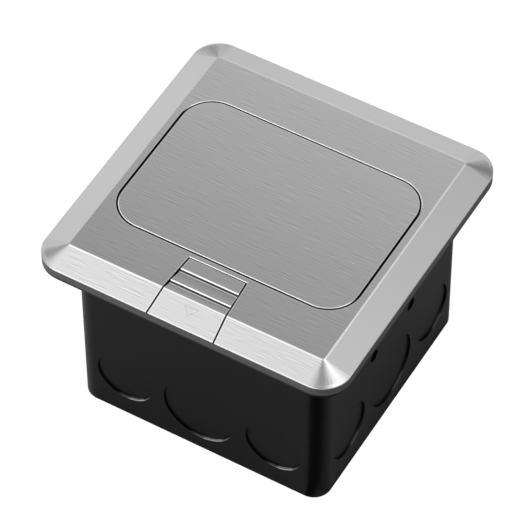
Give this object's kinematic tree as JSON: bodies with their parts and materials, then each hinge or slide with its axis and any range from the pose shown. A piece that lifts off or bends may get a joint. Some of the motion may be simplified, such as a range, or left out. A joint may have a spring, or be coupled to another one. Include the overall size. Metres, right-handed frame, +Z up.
{
  "type": "floor socket box",
  "caption": "Square pop-up floor socket box: satin steel cover plate and hinged lid, sprung latch button, power and data inserts on a tilting carrier, and a black back box with knockouts.",
  "frame": {"origin": "centre of the back box's underside", "axes": "+Z up through the cover plate, -Y towards the edge with the latch button, +X to the right as seen from that edge"},
  "size_m": [0.12, 0.12, 0.0828],
  "materials": {
    "satin_steel": "satin",
    "frame_grey": "satin",
    "box_black": "satin",
    "seal_rubber": "matte",
    "zinc_steel": "satin",
    "spring_steel": "satin",
    "contact_brass": "satin",
    "moulded_black": "matte",
    "gear_nylon": "matte",
    "insert_white": "satin",
    "shutter_grey": "satin"
  },
  "bodies": {
    "housing": {"back_box": "box_black", "cover_plate": "satin_steel", "cradle_screws": "zinc_steel", "damper_housing": "moulded_black", "damper_screws": "zinc_steel", "earth_clamp": "contact_brass", "earth_screw": "contact_brass", "fixing_screws": "zinc_steel", "floor_gasket": "seal_rubber", "hinge_cradle": "zinc_steel", "hinge_pins": "zinc_steel", "latch_spring": "spring_steel", "lid_buffers": "seal_rubber", "lug_brackets": "zinc_steel", "torsion_spring": "spring_steel", "under_frame": "frame_grey"},
    "damper": {"damper_pinion": "gear_nylon"},
    "latch": {"latch_button": "satin_steel", "latch_slider": "moulded_black", "slider_screws": "zinc_steel"},
    "lid": {"lid_panel": "satin_steel", "lid_frame": "moulded_black", "lid_screws": "zinc_steel", "socket_carrier": "moulded_black", "hinge_bushes": "contact_brass", "gear_sector": "gear_nylon", "insert_frame": "moulded_black", "insert_screws": "zinc_steel", "outlet_housing": "insert_white", "outlet_base": "insert_white", "live_contact": "contact_brass", "neutral_contact": "contact_brass", "earth_contact": "contact_brass", "terminal_screws": "zinc_steel", "shutter_spring": "spring_steel", "data_housing": "insert_white", "data_jack": "moulded_black", "jack_contacts": "contact_brass"},
    "blade_cover": {"blade_shutter": "shutter_grey"},
    "dust_cover": {"dust_shutter": "shutter_grey"}
  },
  "joints": [
    {"name": "lid_hinge", "type": "hinge", "parent": "housing", "child": "lid", "pos_m": [0, 0.018, 0.0788], "axis": [-1, 0, 0], "range_deg": [0, 58]},
    {"name": "damper_spin", "type": "hinge", "parent": "housing", "child": "damper", "pos_m": [0, 0.018, 0.058], "axis": [-1, 0, 0], "range_deg": [-194, 0]},
    {"name": "latch_slide", "type": "slide", "parent": "housing", "child": "latch", "axis": [0, -1, 0], "range_m": [0, 0.0035], "stiffness_N_per_m": 400, "springref_m": -0.004, "deforming": ["latch_spring"]},
    {"name": "shutter_slide", "type": "slide", "parent": "lid", "child": "blade_cover", "axis": [1, 0, 0], "range_m": [0, 0.0026], "stiffness_N_per_m": 120, "springref_m": -0.002, "deforming": ["shutter_spring"]},
    {"name": "dust_slide", "type": "slide", "parent": "lid", "child": "dust_cover", "axis": [0, -0.5123, 0.8588], "range_m": [0, 0.0092]}
  ],
  "couplings": [
    {"joint": "damper_spin", "follows": "lid_hinge", "ratio": -3.3333}
  ]
}
